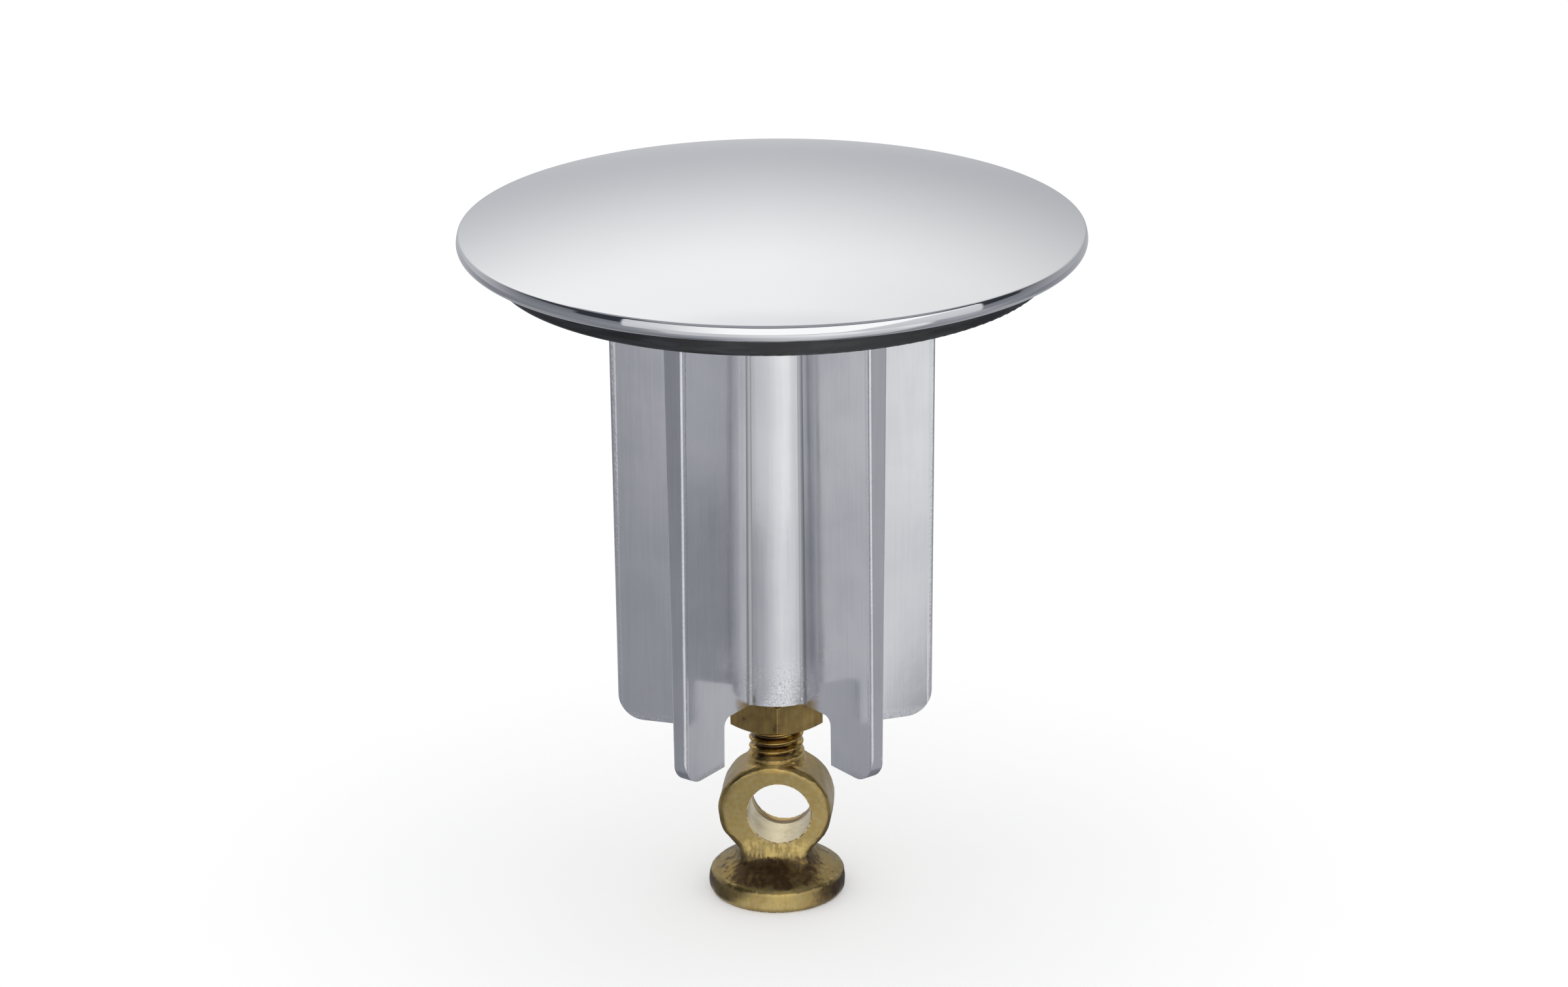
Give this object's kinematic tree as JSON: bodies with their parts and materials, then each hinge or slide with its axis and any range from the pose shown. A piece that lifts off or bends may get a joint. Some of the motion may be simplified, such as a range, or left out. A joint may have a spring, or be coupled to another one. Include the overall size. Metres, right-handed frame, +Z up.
{
  "type": "pop-up basin drain stopper",
  "caption": "Pop-up basin plug: domed chrome cap with a rubber seal on a finned guide body, set in height by a brass eye screw and lock nut.",
  "frame": {"origin": "centre of the foot's flat base", "axes": "+Z up along the plug's axis; the eye's bore runs along Y; -Y is the front, towards the picture's camera"},
  "size_m": [0.065, 0.065, 0.0787],
  "materials": {
    "cap_chrome": "mirror-polished chrome plate",
    "insert_plastic": "plain moulded",
    "stud_brass": "turned",
    "seal_rubber": "matte black",
    "body_chrome": "chrome plate over a die-casting, semi-gloss with faint vertical streaks",
    "nut_brass": "olive-brown patina",
    "screw_brass": "forged, golden with a brown patina"
  },
  "bodies": {
    "screw": {"eye_screw": "screw_brass"},
    "nut": {"lock_nut": "nut_brass"},
    "guide": {"guide_body": "body_chrome"},
    "seal": {"seal_ring": "seal_rubber"},
    "cap": {"cap_dome": "cap_chrome", "cap_insert": "insert_plastic", "cap_stud": "stud_brass"}
  },
  "joints": [
    {"name": "nut_rise", "type": "slide", "parent": "screw", "child": "nut", "axis": [0, 0, 1], "range_m": [-0.00351, 0.01001]},
    {"name": "plug_turn", "type": "hinge", "parent": "nut", "child": "guide", "pos_m": [0, 0, 0.02345], "axis": [0, 0, 1], "range_deg": [-1260, 3600]},
    {"name": "seal_rise", "type": "slide", "parent": "guide", "child": "seal", "axis": [0, 0, 1], "range_m": [0, 0.01251]},
    {"name": "cap_turn", "type": "hinge", "parent": "seal", "child": "cap", "pos_m": [0, 0, 0.0727], "axis": [0, 0, 1], "range_deg": [0, 3600]}
  ],
  "couplings": [
    {"joint": "nut_rise", "follows": "plug_turn", "m_per_rad": 0.00015915},
    {"joint": "seal_rise", "follows": "cap_turn", "m_per_rad": 0.00019894}
  ]
}
